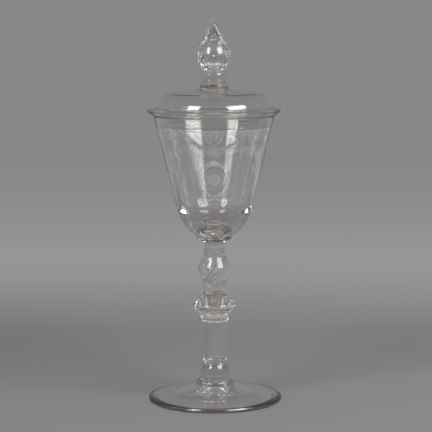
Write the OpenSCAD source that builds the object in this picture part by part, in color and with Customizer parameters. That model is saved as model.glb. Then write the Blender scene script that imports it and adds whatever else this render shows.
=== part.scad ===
// Covered goblet of clear glass: a round-funnel bowl on a knopped stem, with a loose cover.
// Every gather of glass that the maker joined hot is a solid of its own. The stem pieces stand
// on each other from the foot to the bowl, and the cover hangs its spigot in the bowl's mouth.
// Z is up, the origin is the centre of the foot on the table, and sizes are in millimetres.

/* [Foot] */
// Diameter over the rim of the foot
foot_d = 112; // [96:1:130]
// Height from the table to the seat of the foot collar
foot_h = 13.4; // [11:0.2:18]
// Thickness of the folded rim
foot_rim_t = 3.6; // [3:0.1:6]
// Width of the folded rim
foot_rim_w = 8; // [5:0.5:12]
// Step up from the folded rim to the plate inside it
foot_fold_step = 1; // [0.5:0.1:1.5]
// Height of the hollow under the middle of the foot
foot_kick_h = 8.6; // [4:0.2:9.4]
// Diameter of the ground pontil dish under the foot
pontil_d = 20; // [12:1:26]
// Depth of the pontil dish
pontil_depth = 0.8; // [0.3:0.1:1.5]

/* [Foot collar] */
// Diameter of the collar where it spreads on the foot
foot_collar_low_d = 32.4; // [29:0.2:38]
// Diameter of the collar at its top
foot_collar_top_d = 28; // [25:0.2:32]
// Height of the collar
foot_collar_h = 5.2; // [3:0.2:8]
// Swell of the collar's side
foot_collar_swell = 0.7; // [0:0.1:1.5]

/* [Basal knop] */
// Diameter of the knop where it sits on the collar
basal_low_d = 23; // [20:0.2:27]
// Diameter of the knop at its widest
basal_d = 24.6; // [22:0.2:29]
// Diameter of the knop under the column
basal_top_d = 20.2; // [17:0.2:23]
// Height of the knop
basal_h = 12.4; // [9:0.2:18]

/* [Column] */
// Diameter of the column at its waist
column_d = 18.4; // [16:0.2:21]
// Diameter of the column at its flared top
column_top_d = 23.2; // [20:0.2:25]
// Height of the column
column_h = 38.5; // [28:0.5:46]
// Thickness of glass round the column's hollow
column_wall = 2.2; // [1.6:0.1:4]
// Thickness of glass above and below the column's hollow
column_end_t = 1; // [0.8:0.1:4]

/* [Beaded knop] */
// Diameter of the knop at its widest
knop_d = 36.4; // [33:0.2:42]
// Diameter of the knop at its lower taper
knop_low_d = 27; // [25:0.2:31]
// Diameter of the knop at its upper shoulder
knop_shoulder_d = 29.8; // [27:0.2:34]
// Diameter of the seat on top of the knop
knop_top_d = 20.4; // [18.4:0.2:25]
// Height of the knop
knop_h = 19.9; // [18:0.1:26]
// Number of air beads in the knop
knop_bead_count = 12; // [6:2:12]
// Width of one air bead
knop_bead_d = 4; // [2.5:0.1:4.6]
// Height of one air bead
knop_bead_h = 9; // [5:0.2:10]
// Diameter of the ring that the air beads stand on
knop_bead_ring_d = 20; // [16:0.2:21]
// Height from the knop's foot to the middle of the air beads
knop_bead_z = 5.5; // [5.2:0.1:9]

/* [Knop collar] */
// Diameter of the collar over the beaded knop
knop_collar_d = 20; // [18.6:0.2:24]
// Height of the collar over the beaded knop
knop_collar_h = 3.6; // [2.4:0.2:5]

/* [Twisted baluster] */
// Diameter of the baluster over its shoulder
baluster_d = 28.2; // [25:0.2:33]
// Diameter of the baluster at its lower taper
baluster_low_d = 20.2; // [19:0.2:24]
// Diameter of the baluster at its foot
baluster_end_d = 18.4; // [16:0.2:20]
// Diameter of the baluster at the end of its shoulder
baluster_top_d = 20.6; // [19:0.2:23]
// Height of the baluster
baluster_h = 29; // [24:0.5:36]
// Thickness of glass round the baluster's hollow
baluster_wall = 2.6; // [1.8:0.1:4]
// Thickness of glass under the baluster's hollow
baluster_floor_t = 2; // [1:0.1:4]
// Thickness of glass above the baluster's hollow
baluster_roof_t = 1.6; // [1:0.1:4]
// Number of twisted ribs in the hollow
rib_count = 20; // [12:2:24]
// Height of the ribs at the shoulder
rib_depth = 0.8; // [0.3:0.1:1.2]
// Angle that each rib turns through from the baluster's foot to its top
rib_twist = 130; // [60:5:240]

/* [Stem neck] */
// Diameter of the neck at its foot
neck_low_d = 18.4; // [16.6:0.2:20]
// Diameter of the neck at its waist
neck_d = 17; // [15:0.2:19]
// Diameter of the neck under the bowl's collar
neck_top_d = 19.2; // [17.4:0.2:22]
// Height of the neck
neck_h = 14.4; // [10:0.2:20]

/* [Bowl collar] */
// Diameter of the collar under the bowl
bowl_collar_d = 30.4; // [26:0.2:36]
// Height of the collar under the bowl
bowl_collar_h = 3; // [2:0.1:4.5]

/* [Bowl] */
// Height of the bowl from its collar to the rim
bowl_h = 101.6; // [85:0.5:120]
// Diameter over the rim
bowl_rim_d = 101; // [88:0.5:112]
// Diameter of the rounded base of the bowl
bowl_base_d = 63; // [54:0.5:72]
// Diameter of the flat that sits on the collar
bowl_seat_d = 29.4; // [24:0.2:34]
// Thickness of the wall at the rim
bowl_rim_t = 2.6; // [2:0.1:4]
// Thickness of the solid base under the hollow
bowl_base_t = 6.5; // [4:0.5:14]
// How much smaller the radius of the round hollow is than that of the base
bowl_side_t = 2.8; // [2:0.1:6]
// Radius of the fire-polished edges of the rim
rim_round = 0.8; // [0.4:0.1:0.9]

/* [Cover] */
// Distance that the flange stands out past the bowl's rim
flange_overhang = 5; // [3:0.2:9]
// Thickness of the flange where it meets the cover
flange_t = 4.4; // [3.4:0.1:6]
// Thickness of the flange at its rounded edge
flange_edge_t = 3.8; // [2.6:0.1:5]
// Distance from the bowl's rim in to the side of the cover
dome_inset = 1; // [0:0.1:3]
// Height of the cover from the bowl's rim to the finial's collar
cover_h = 21.2; // [19:0.2:28]
// Height of the rounded shoulder above the flange
shoulder_h = 13.6; // [9:0.2:14.4]
// Width of the rounded shoulder
shoulder_w = 13.5; // [8:0.5:20]
// Thickness of the cover's wall
cover_wall = 2.6; // [2:0.1:3.6]
// Depth that the spigot reaches into the bowl
spigot_h = 9; // [5:0.5:14]
// Gap between the foot of the spigot and the bowl's wall
spigot_gap = 0.7; // [0.4:0.1:1.5]

/* [Finial] */
// Diameter of the collar under the finial
finial_collar_d = 24; // [20:0.2:30]
// Height of the collar under the finial
finial_collar_h = 3.8; // [2.4:0.2:5]
// Diameter of the ring on the finial's neck
finial_neck_d = 22.2; // [20.4:0.2:26]
// Diameter of both ends of the finial's neck
finial_neck_end_d = 19; // [16:0.2:20]
// Height of the finial's neck
finial_neck_h = 12.8; // [9:0.2:17]
// Diameter of the finial's ball
finial_ball_d = 27.6; // [24:0.2:31]
// Diameter of the ball where the spire grows from it
finial_ball_top_d = 22; // [19:0.2:23.6]
// Height of the finial's ball
finial_ball_h = 19.8; // [16:0.2:25]
// Number of air beads in the ball
finial_bead_count = 8; // [6:2:10]
// Width of one air bead in the ball
finial_bead_d = 4.6; // [2.5:0.1:5]
// Height of one air bead in the ball
finial_bead_h = 8.6; // [5:0.2:10]
// Diameter of the ring that the ball's air beads stand on
finial_bead_ring_d = 15.6; // [13:0.2:17]
// Height from the ball's foot to the middle of its air beads
finial_bead_z = 5.7; // [5.2:0.1:9]
// Diameter of the spire's drawn tip
spire_tip_d = 3.8; // [3:0.1:6]
// Height of the spire
spire_h = 21.4; // [17:0.2:28]
// Widest diameter of the air tear in the spire
tear_d = 4.4; // [2:0.1:6]
// Height of the air tear
tear_h = 17.4; // [9:0.2:18]
// Thickness of glass under the air tear
tear_floor_t = 1.8; // [1:0.1:3]

/* [Hidden] */
clear_glass = [0.84, 0.86, 0.85, 0.45];
$fn = 128;

// Steps along one stretch of a curved outline
steps = 8;

// Heights of the joints, from the table up
foot_collar_z = foot_h;
basal_z = foot_collar_z + foot_collar_h;
column_z = basal_z + basal_h;
knop_z = column_z + column_h;
knop_collar_z = knop_z + knop_h;
baluster_z = knop_collar_z + knop_collar_h;
neck_z = baluster_z + baluster_h;
bowl_collar_z = neck_z + neck_h;
bowl_z = bowl_collar_z + bowl_collar_h;
rim_z = bowl_z + bowl_h;
finial_collar_z = rim_z + cover_h;
finial_neck_z = finial_collar_z + finial_collar_h;
finial_ball_z = finial_neck_z + finial_neck_h;
spire_z = finial_ball_z + finial_ball_h;

// Keys of the swelling outlines: a radius, then the share of the piece's height where it lies
basal_keys = [[basal_low_d / 2, 0], [basal_d / 2, 0.38], [basal_d * 0.48, 0.7], [basal_top_d / 2, 1]];
column_keys = [[basal_top_d / 2, 0], [column_d / 2, 0.43], [column_d * 0.516, 0.75], [column_top_d / 2, 1]];
knop_keys = [[column_top_d / 2, 0], [knop_low_d / 2, 0.24], [knop_d * 0.47, 0.44], [knop_d / 2, 0.54],
             [knop_shoulder_d / 2, 0.82], [knop_top_d / 2, 1]];
baluster_keys = [[baluster_end_d / 2, 0], [baluster_low_d / 2, 0.27], [baluster_d * 0.425, 0.46],
                 [baluster_d / 2, 0.69], [baluster_d * 0.465, 0.79], [baluster_d * 0.415, 0.9],
                 [baluster_top_d / 2, 1]];
neck_keys = [[neck_low_d / 2, 0], [neck_d / 2, 0.4], [neck_d * 0.524, 0.85], [neck_top_d / 2, 1]];
finial_neck_keys = [[finial_neck_end_d / 2, 0], [finial_neck_d / 2, 0.25], [finial_neck_d / 2, 0.56],
                    [finial_neck_end_d * 0.49, 0.84], [finial_neck_end_d / 2, 1]];
ball_keys = [[finial_neck_end_d / 2, 0], [finial_ball_d * 0.43, 0.2], [finial_ball_d / 2, 0.48],
             [finial_ball_d * 0.48, 0.7], [finial_ball_d * 0.4375, 0.88], [finial_ball_top_d / 2, 1]];
spire_keys = [[finial_ball_top_d / 2, 0], [finial_ball_top_d * 0.3865, 0.25],
              [finial_ball_top_d * 0.268, 0.45], [spire_tip_d * 0.925, 0.62], [spire_tip_d * 0.55, 0.76],
              [spire_tip_d * 0.475, 0.93], [0, 1]];
tear_keys = [[0, 0], [tear_d * 0.38, 0.02], [tear_d / 2, 0.1], [tear_d * 0.3, 0.35],
             [tear_d * 0.13, 0.7], [tear_d * 0.1, 0.9], [0, 1]];

// Points on an arc about c, from angle a to angle b
function arc(c, rx, rz, a, b, n = steps) =
    [for (i = [0:n]) let (t = a + (b - a) * i / n) c + [rx * cos(t), rz * sin(t)]];

// Points on a curve from p to q that leans towards the control point m
function bend(p, m, q, n = steps) =
    [for (i = [0:n]) let (t = i / n) (1 - t) * (1 - t) * p + 2 * t * (1 - t) * m + t * t * q];

// Slope of the outline at key i, from its neighbours, and none at a belly or a waist
function slope(keys, i) =
    let (a = max(i - 1, 0), b = min(i + 1, len(keys) - 1),
         turns = a < i && i < b && (keys[i][0] - keys[a][0]) * (keys[b][0] - keys[i][0]) <= 0)
    turns ? 0 : (keys[b][0] - keys[a][0]) / (keys[b][1] - keys[a][1]);

// Radius of a swelling outline at share s of its height: a smooth cubic through its keys
function swell_r(keys, s) =
    let (i = max([for (k = [0:len(keys) - 2]) if (keys[k][1] <= s) k]),
         w = keys[i + 1][1] - keys[i][1],
         t = (s - keys[i][1]) / w)
    keys[i][0] * (1 + 2 * t) * pow(1 - t, 2) + slope(keys, i) * w * t * pow(1 - t, 2)
    + keys[i + 1][0] * t * t * (3 - 2 * t) + slope(keys, i + 1) * w * t * t * (t - 1);

// Outline of a swelling solid of height h, closed along the axis
function swell_outline(keys, h) =
    concat([[0, 0]],
           [for (k = [0:len(keys) - 2], i = [0:steps - 1])
                let (s = keys[k][1] + (keys[k + 1][1] - keys[k][1]) * i / steps) [swell_r(keys, s), s * h]],
           [[keys[len(keys) - 1][0], h], [0, h]]);

// Height of a blown hollow at share s of the way from its floor to its roof, in a piece of height h
function blown_z(h, floor_t, roof_t, s) = floor_t + (h - floor_t - roof_t) * s;

// Radius of the hollow there: it keeps the wall's thickness, and its ends close in blunt rounds
function blown_r(keys, wall, at, s, blunt) =
    (swell_r(keys, at) - wall) * sqrt(1 - pow(abs(2 * s - 1), s < 0.5 ? blunt[0] : blunt[1]));

module swelling(keys, h) rotate_extrude() polygon(swell_outline(keys, h));

// Flat disc with a rounded edge, as a gather squeezed between two pieces
module collar_disc(d, h) {
    edge = h * 0.4;
    rotate_extrude() polygon(concat([[0, 0]], arc([d / 2 - edge, h / 2], edge, h / 2, -90, 90), [[0, h]]));
}

// One air bead about its middle, rounder below than above
module air_bead(d, h) {
    lean = 0.2;
    rotate_extrude()
        polygon([for (i = [0:2 * steps]) let (a = 90 * i / steps)
                     [d / 2 * sin(a) * (1 + lean * cos(a)), -h / 2 * cos(a)]]);
}

// Ring of air beads, with the first at the front
module bead_ring(count, ring_r, z, d, h)
    for (i = [0:count - 1]) rotate(360 * i / count - 90) translate([ring_r, 0, z]) air_bead(d, h);

module foot() {
    pontil_r = pontil_d / 2;
    rim_r = foot_rim_t / 2;
    rim_c = foot_d / 2 - rim_r;
    fold_r = foot_d / 2 - foot_rim_w;
    seat_r = foot_collar_low_d / 2;
    under_lean = [pontil_r + (fold_r - pontil_r) * 0.3, (foot_kick_h + foot_fold_step) / 2];
    top_lean = [seat_r + (rim_c - seat_r) * 0.3, foot_rim_t + (foot_h - foot_rim_t) * 0.36];
    color(clear_glass) rotate_extrude() polygon(concat(
        [for (i = [0:steps]) let (s = i / steps) [pontil_r * s, foot_kick_h + pontil_depth * (1 - s * s)]],
        bend([pontil_r, foot_kick_h], under_lean, [fold_r, foot_fold_step]),
        arc([fold_r + foot_fold_step, foot_fold_step], foot_fold_step, foot_fold_step, 180, 270),
        arc([rim_c, rim_r], rim_r, rim_r, -90, 90),
        bend([rim_c, foot_rim_t], top_lean, [seat_r, foot_h]),
        [[0, foot_h]]));
}

module foot_collar() {
    color(clear_glass) translate([0, 0, foot_collar_z]) rotate_extrude() polygon(concat(
        [[0, 0]],
        [for (i = [0:steps]) let (s = i / steps)
             [(foot_collar_low_d * (1 - s) + foot_collar_top_d * s) / 2 + foot_collar_swell * sin(180 * s),
              foot_collar_h * s]],
        [[0, foot_collar_h]]));
}

module basal_knop() color(clear_glass) translate([0, 0, basal_z]) swelling(basal_keys, basal_h);

// Blown column: the hollow follows the outside, round at its foot and nearly flat at its top
module stem_column() {
    bluntness = [7, 14];
    color(clear_glass) translate([0, 0, column_z]) difference() {
        swelling(column_keys, column_h);
        rotate_extrude() polygon([for (i = [0:4 * steps])
            let (s = (1 - cos(45 * i / steps)) / 2, z = blown_z(column_h, column_end_t, column_end_t, s))
            [blown_r(column_keys, column_wall, z / column_h, s, bluntness), z]]);
    }
}

module beaded_knop() {
    color(clear_glass) translate([0, 0, knop_z]) difference() {
        swelling(knop_keys, knop_h);
        bead_ring(knop_bead_count, knop_bead_ring_d / 2, knop_bead_z, knop_bead_d, knop_bead_h);
    }
}

module knop_collar()
    color(clear_glass) translate([0, 0, knop_collar_z]) collar_disc(knop_collar_d, knop_collar_h);

// Blown baluster, smooth outside: the ribs run round its hollow as they climb, lost at both ends
module twisted_baluster() {
    rings = 28;
    points_per_rib = 6;
    around = rib_count * points_per_rib;
    bluntness = [5, 5];
    function rib_r(s, at, a) =
        let (r = blown_r(baluster_keys, baluster_wall, at, s, bluntness),
             depth = rib_depth * pow(sin(180 * at), 0.7) * min(2 * r / neck_d, 1))
        r - depth / 2 * (1 - cos(rib_count * (a - rib_twist * at)));
    walls = [for (k = [1:rings - 1], i = [0:around - 1])
                 let (s = (1 - cos(180 * k / rings)) / 2, a = 360 * i / around,
                      z = blown_z(baluster_h, baluster_floor_t, baluster_roof_t, s),
                      r = rib_r(s, z / baluster_h, a))
                 [r * cos(a), r * sin(a), z]];
    poles = [[0, 0, baluster_floor_t], [0, 0, baluster_h - baluster_roof_t]];
    low_pole = len(walls);
    last_ring = low_pole - around;
    sides = [for (k = [0:rings - 3], i = [0:around - 1], half = [0, 1])
                 let (j = (i + 1) % around, low = k * around, high = low + around)
                 half == 0 ? [low + i, high + i, high + j] : [low + i, high + j, low + j]];
    ends = [for (i = [0:around - 1], half = [0, 1])
                let (j = (i + 1) % around)
                half == 0 ? [low_pole, i, j] : [low_pole + 1, last_ring + j, last_ring + i]];
    color(clear_glass) translate([0, 0, baluster_z]) difference() {
        swelling(baluster_keys, baluster_h);
        polyhedron(concat(walls, poles), concat(sides, ends));
    }
}

module stem_neck() color(clear_glass) translate([0, 0, neck_z]) swelling(neck_keys, neck_h);

module bowl_collar()
    color(clear_glass) translate([0, 0, bowl_collar_z]) collar_disc(bowl_collar_d, bowl_collar_h);

// Outside of the bowl: a ball-shaped base, then a straight wall that touches the base and the rim's round
base_r = bowl_base_d / 2;
base_c = [0, sqrt(base_r * base_r - bowl_seat_d * bowl_seat_d / 4)];
rim_out_c = [bowl_rim_d / 2 - rim_round, bowl_h - rim_round];
wall_out_a = let (v = rim_out_c - base_c) atan2(v[1], v[0]) - acos((base_r - rim_round) / norm(v));

// Hollow of the bowl: a ball, and a straight wall that touches it and passes inside the rim's round
hollow_r = base_r - bowl_side_t;
hollow_c = [0, bowl_base_t + hollow_r];
rim_in_c = [bowl_rim_d / 2 - bowl_rim_t + rim_round, bowl_h - rim_round];
wall_in_a = let (v = rim_in_c - hollow_c) atan2(v[1], v[0]) - acos((hollow_r + rim_round) / norm(v));

// Radius of the hollow at height z above the bowl's seat, along its straight wall
function hollow_wall_r(z) =
    let (p = hollow_c + hollow_r * [cos(wall_in_a), sin(wall_in_a)])
    p[0] - (z - p[1]) * tan(wall_in_a);

module bowl() {
    color(clear_glass) translate([0, 0, bowl_z]) rotate_extrude() polygon(concat(
        [[0, 0]],
        arc(base_c, base_r, base_r, -asin(base_c[1] / base_r), wall_out_a, 2 * steps),
        arc(rim_out_c, rim_round, rim_round, wall_out_a, 90),
        arc(rim_in_c, rim_round, rim_round, 90, 180 + wall_in_a),
        arc(hollow_c, hollow_r, hollow_r, wall_in_a, -90, 2 * steps)));
}

// The spigot clears the bowl's wall at its foot, where the mouth is narrowest
spigot_r = hollow_wall_r(bowl_h - spigot_h) - spigot_gap;
dome_r = bowl_rim_d / 2 - dome_inset;
flange_r = bowl_rim_d / 2 + flange_overhang;

// Blown cover: spigot, a flare that carries the flange, a round shoulder and a low crown
module cover_shell() {
    lip = cover_wall / 2;
    flare_lift = cover_wall * 0.4;
    shoulder_c = [dome_r - shoulder_w, flange_t];
    seat_r = finial_collar_d / 2;
    crown_lean = [seat_r + (shoulder_c[0] - seat_r) * 0.4, flange_t + shoulder_h];
    color(clear_glass) translate([0, 0, rim_z]) rotate_extrude() polygon(concat(
        arc([spigot_r - lip, lip - spigot_h], lip, lip, -180, 0),
        [[spigot_r, 0]],
        arc(shoulder_c, shoulder_w, shoulder_h, 0, 90, 2 * steps),
        bend(shoulder_c + [0, shoulder_h], crown_lean, [seat_r, cover_h]),
        [[0, cover_h], [0, cover_h - cover_wall]],
        bend([seat_r, cover_h - cover_wall], crown_lean - [0, cover_wall],
             shoulder_c + [0, shoulder_h - cover_wall]),
        arc(shoulder_c, shoulder_w - cover_wall, shoulder_h - cover_wall, 90, 6, 2 * steps),
        [[dome_r - cover_wall, flange_t + flare_lift], [spigot_r - cover_wall, flare_lift]]));
}

// Ring laid round the cover's flare, flat below where it rests on the bowl's rim
module cover_flange() {
    edge = flange_edge_t / 2;
    color(clear_glass) translate([0, 0, rim_z]) rotate_extrude() polygon(concat(
        [[spigot_r, 0]],
        arc([flange_r - edge, edge], edge, edge, -90, 90),
        [[dome_r, flange_t]]));
}

module finial_collar()
    color(clear_glass) translate([0, 0, finial_collar_z]) collar_disc(finial_collar_d, finial_collar_h);

module finial_neck()
    color(clear_glass) translate([0, 0, finial_neck_z]) swelling(finial_neck_keys, finial_neck_h);

module finial_ball() {
    color(clear_glass) translate([0, 0, finial_ball_z]) difference() {
        swelling(ball_keys, finial_ball_h);
        bead_ring(finial_bead_count, finial_bead_ring_d / 2, finial_bead_z, finial_bead_d, finial_bead_h);
    }
}

// Drawn spire with a long air tear, blunt below and pointed above
module finial_spire() {
    color(clear_glass) translate([0, 0, spire_z]) difference() {
        swelling(spire_keys, spire_h);
        translate([0, 0, tear_floor_t]) swelling(tear_keys, tear_h);
    }
}

foot();
foot_collar();
basal_knop();
stem_column();
beaded_knop();
knop_collar();
twisted_baluster();
stem_neck();
bowl_collar();
bowl();
cover_shell();
cover_flange();
finial_collar();
finial_neck();
finial_ball();
finial_spire();
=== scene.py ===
# %% [markdown]
# A covered goblet of clear glass, about 320 mm tall, blown and drawn in sixteen gathers that were
# joined hot. This lesson dresses the measured model of it: every gather is made again as a smooth
# surface, the glass gets its finish, and the bowl gets its wheel-cut ornament.
# The measured model comes first, because each piece below takes its place and size from it.

# %% The frame
import math

import bpy
import numpy as np
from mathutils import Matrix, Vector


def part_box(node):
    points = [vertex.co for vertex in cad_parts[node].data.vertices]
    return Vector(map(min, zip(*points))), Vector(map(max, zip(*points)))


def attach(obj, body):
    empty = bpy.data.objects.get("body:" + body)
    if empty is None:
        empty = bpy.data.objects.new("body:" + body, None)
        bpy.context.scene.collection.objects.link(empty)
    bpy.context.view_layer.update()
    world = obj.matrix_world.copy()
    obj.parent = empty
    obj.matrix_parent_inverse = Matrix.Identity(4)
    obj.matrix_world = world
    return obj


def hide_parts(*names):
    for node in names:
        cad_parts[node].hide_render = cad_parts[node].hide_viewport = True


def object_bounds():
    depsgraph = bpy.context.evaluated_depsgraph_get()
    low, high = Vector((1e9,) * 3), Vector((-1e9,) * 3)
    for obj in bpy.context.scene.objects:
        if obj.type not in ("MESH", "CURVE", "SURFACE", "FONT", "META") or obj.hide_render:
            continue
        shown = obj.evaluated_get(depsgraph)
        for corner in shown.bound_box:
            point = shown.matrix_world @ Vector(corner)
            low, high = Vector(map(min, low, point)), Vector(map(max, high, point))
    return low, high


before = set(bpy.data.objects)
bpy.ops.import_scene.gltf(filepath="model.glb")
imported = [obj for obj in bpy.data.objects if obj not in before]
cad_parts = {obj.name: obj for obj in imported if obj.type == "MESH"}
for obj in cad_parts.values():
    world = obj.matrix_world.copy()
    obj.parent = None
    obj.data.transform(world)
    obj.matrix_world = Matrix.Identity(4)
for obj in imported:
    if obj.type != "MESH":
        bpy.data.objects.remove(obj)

cad_box = [list(corner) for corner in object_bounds()]
MM = 0.001
scene = bpy.context.scene
scene.view_settings.view_transform = "Standard"
print("measured box in metres:", [[round(v, 4) for v in corner] for corner in cad_box])


def put(name, data):
    """Adds an object with this data to the scene."""
    thing = bpy.data.objects.new(name, data)
    scene.collection.objects.link(thing)
    return thing


# %% [markdown]
# The camera stands a metre and a half away and looks slightly down, through a long lens that keeps
# the sides of the bowl straight. Nothing in the scene depends on where it stands.

# %% Camera
CAMERA_BACK = 1.52726
CAMERA_SIDE = 0.00207
CAMERA_HEIGHT = 0.3588
CAMERA_DIP = 7.57
CAMERA_ROLL = 0.2
LENS = 153.67
SENSOR = 36.0
SEES_TO = 200.0

lens = bpy.data.cameras.new("lens")
lens.lens = LENS
lens.sensor_width = SENSOR
lens.clip_end = SEES_TO
camera = put("camera", lens)
camera.location = (CAMERA_SIDE, -CAMERA_BACK, CAMERA_HEIGHT)
camera.rotation_euler = (math.radians(90 - CAMERA_DIP), math.radians(CAMERA_ROLL), 0)
scene.camera = camera
print("lens", LENS, "mm at", CAMERA_BACK, "m")

# %% [markdown]
# Finishes are node trees. Wiring each sum by hand is slow and hard to read, so one class wraps a
# socket: a plus or a times between two of them adds the Math node that does it. A second class adds
# any other node, from the values or wires of its sockets. Short functions name the common ones.

# %% Wires and nodes


class Wire:
    """An output socket. Arithmetic on it, with a number or a wire on either side, adds a Math node."""

    def __init__(self, nodes, socket):
        self.nodes = nodes
        self.socket = socket

    def math(self, operation, first, second):
        return self.nodes.add("Math", {0: first, 1: second}, operation=operation)

    def __add__(self, other):
        return self.math("ADD", self, other)

    def __sub__(self, other):
        return self.math("SUBTRACT", self, other)

    def __rsub__(self, other):
        return self.math("SUBTRACT", other, self)

    def __mul__(self, other):
        return self.math("MULTIPLY", self, other)

    def __truediv__(self, other):
        return self.math("DIVIDE", self, other)

    def __rtruediv__(self, other):
        return self.math("DIVIDE", other, self)

    __radd__ = __add__
    __rmul__ = __mul__


class Nodes:
    """A node tree that starts empty."""

    def __init__(self, owner):
        owner.use_nodes = True
        self.tree = owner.node_tree
        self.tree.nodes.clear()

    def add(self, kind, sockets=None, out=0, **settings):
        """Adds a node of this kind, sets it up, fills its sockets and gives back one of its outputs."""
        node = self.tree.nodes.new("ShaderNode" + kind)
        for name, value in settings.items():
            if name == "stops":
                ramp = node.color_ramp.elements
                while len(ramp) < len(value):
                    ramp.new(1.0)
                for stop, (place, colour) in zip(ramp, value):
                    stop.position = place
                    stop.color = colour
            else:
                setattr(node, name, value)
        for name, value in (sockets or {}).items():
            if isinstance(value, Wire):
                self.tree.links.new(value.socket, node.inputs[name])
            else:
                node.inputs[name].default_value = value
        return Wire(self, node.outputs[out]) if len(node.outputs) else None


MIX_FIRST, MIX_SECOND, MIX_COLOUR = 6, 7, 2


def new_finish(name):
    """A new material, its empty node tree and its object coordinates."""
    material = bpy.data.materials.new(name)
    nodes = Nodes(material)
    return material, nodes, nodes.add("TexCoord", out="Object")


def coordinate(place, axis):
    """One coordinate of a place: X, Y or Z."""
    return place.nodes.add("SeparateXYZ", {0: place}, axis)


def noise(place, scale, detail):
    """Soft random lumps, about this many to the metre, with detail finer layers on them."""
    return place.nodes.add("TexNoise", {"Vector": place, "Scale": scale, "Detail": detail})


def smooth_step(value, start, full, first=0.0, last=1.0):
    """Leads smoothly from the first level to the last while the value goes from start to full."""
    return value.nodes.add("MapRange", {
        "Value": value, "From Min": start, "From Max": full, "To Min": first, "To Max": last},
        interpolation_type="SMOOTHSTEP")


def mixed(share, first, second):
    """The first colour with this share of the second. A Mix node keeps colours at these sockets."""
    return share.nodes.add("Mix", {0: share, MIX_FIRST: first, MIX_SECOND: second}, MIX_COLOUR,
                           data_type="RGBA")


print("wires and nodes are ready")

# %% [markdown]
# Nearly every gather is a turned form, so one tool serves them all: an outline from the axis out
# and back, carried once round. Where two gathers were joined hot there is no surface left between
# them, so those stretches of the outline are marked, and light passes them unbent.

# %% Outlines
GLASS, SEAM = 0, 1
TINY = 1e-6


def arc(centre, wide, tall, start, stop, count=24):
    """Points on an ellipse about centre, from one angle to another in degrees."""
    angle = np.radians(np.linspace(start, stop, count + 1))
    return np.column_stack([centre[0] + wide * np.cos(angle), centre[1] + tall * np.sin(angle)])


def curve(t, first, lean, last):
    """Points (1 - t)^2 first + 2 t (1 - t) lean + t^2 last, and the unit directions there."""
    first, lean, last = (np.asarray(point, float) for point in (first, lean, last))
    along = (1 - t) * (lean - first) + t * (last - lean)
    along = along / np.maximum(np.linalg.norm(along, axis=-1, keepdims=True), TINY)
    return (1 - t) ** 2 * first + 2 * t * (1 - t) * lean + t ** 2 * last, along


def bend(first, lean, last, count=40):
    """Points on the curve from first to last that leans towards a third point."""
    return curve(np.linspace(0, 1, count + 1)[:, None], first, lean, last)[0]


def straight(first, last, count=1):
    """Even points on a straight line."""
    t = np.linspace(0, 1, count + 1)[:, None]
    return (1 - t) * np.array(first) + t * np.array(last)


def crowded(count):
    """Shares from 0 to 1 that crowd at both ends: (1 - cos a) / 2 for even angles a."""
    return (1 - np.cos(np.linspace(0, np.pi, count + 1))) / 2


def swell_radius(keys, share):
    """Radius of a smooth cubic through keys of (radius, share of height). A key's slope is that of
    the line between its neighbours, and none at a belly or a waist."""
    radius, at = np.array(keys, float).T
    index = np.arange(len(at))
    before, after = np.maximum(index - 1, 0), np.minimum(index + 1, len(at) - 1)
    slope = (radius[after] - radius[before]) / (at[after] - at[before])
    turns = (radius - radius[before]) * (radius[after] - radius) <= 0
    turns[[0, -1]] = False
    slope[turns] = 0
    i = np.clip(np.searchsorted(at, share, side="right") - 1, 0, len(at) - 2)
    width = at[i + 1] - at[i]
    t = (share - at[i]) / width
    return (radius[i] * (1 + 2 * t) * (1 - t) ** 2 + slope[i] * width * t * (1 - t) ** 2
            + radius[i + 1] * t * t * (3 - 2 * t) + slope[i + 1] * width * t * t * (t - 1))


def seam(first, last, count=1):
    """A straight stretch of an outline that is a seam."""
    return SEAM, straight(first, last, count)


def outline(*stretches):
    """Joins stretches into points and a mark for each step between them. Bare points are glass, and a
    number is a straight line of so many steps between its neighbours. Empty steps are left out."""
    runs = [run if isinstance(run, tuple) else (GLASS, run) for run in stretches]
    for i, (mark, run) in enumerate(runs):
        if isinstance(run, int):
            runs[i] = mark, straight(runs[i - 1][1][-1], runs[i + 1][1][0], run)
    points = np.vstack([runs[0][1][:1]] + [run[1:] for _, run in runs])
    marks = np.concatenate([np.full(len(run) - 1, mark) for mark, run in runs])
    steps = np.linalg.norm(np.diff(points, axis=0), axis=1) > TINY
    return points[np.append(True, steps)], marks[steps]


def capped(side, contact_low, contact_high):
    """Closes a side, given upwards, with flat ends that are seams as far as the neighbours reach."""
    low, top = side[0, 1], side[-1, 1]
    return outline(seam((0, low), (contact_low, low)), 2, side, 2, seam((contact_high, top), (0, top)))


print("outlines are ready")

# %% Turned forms
AROUND, AROUND_WIDE = 192, 288


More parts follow.
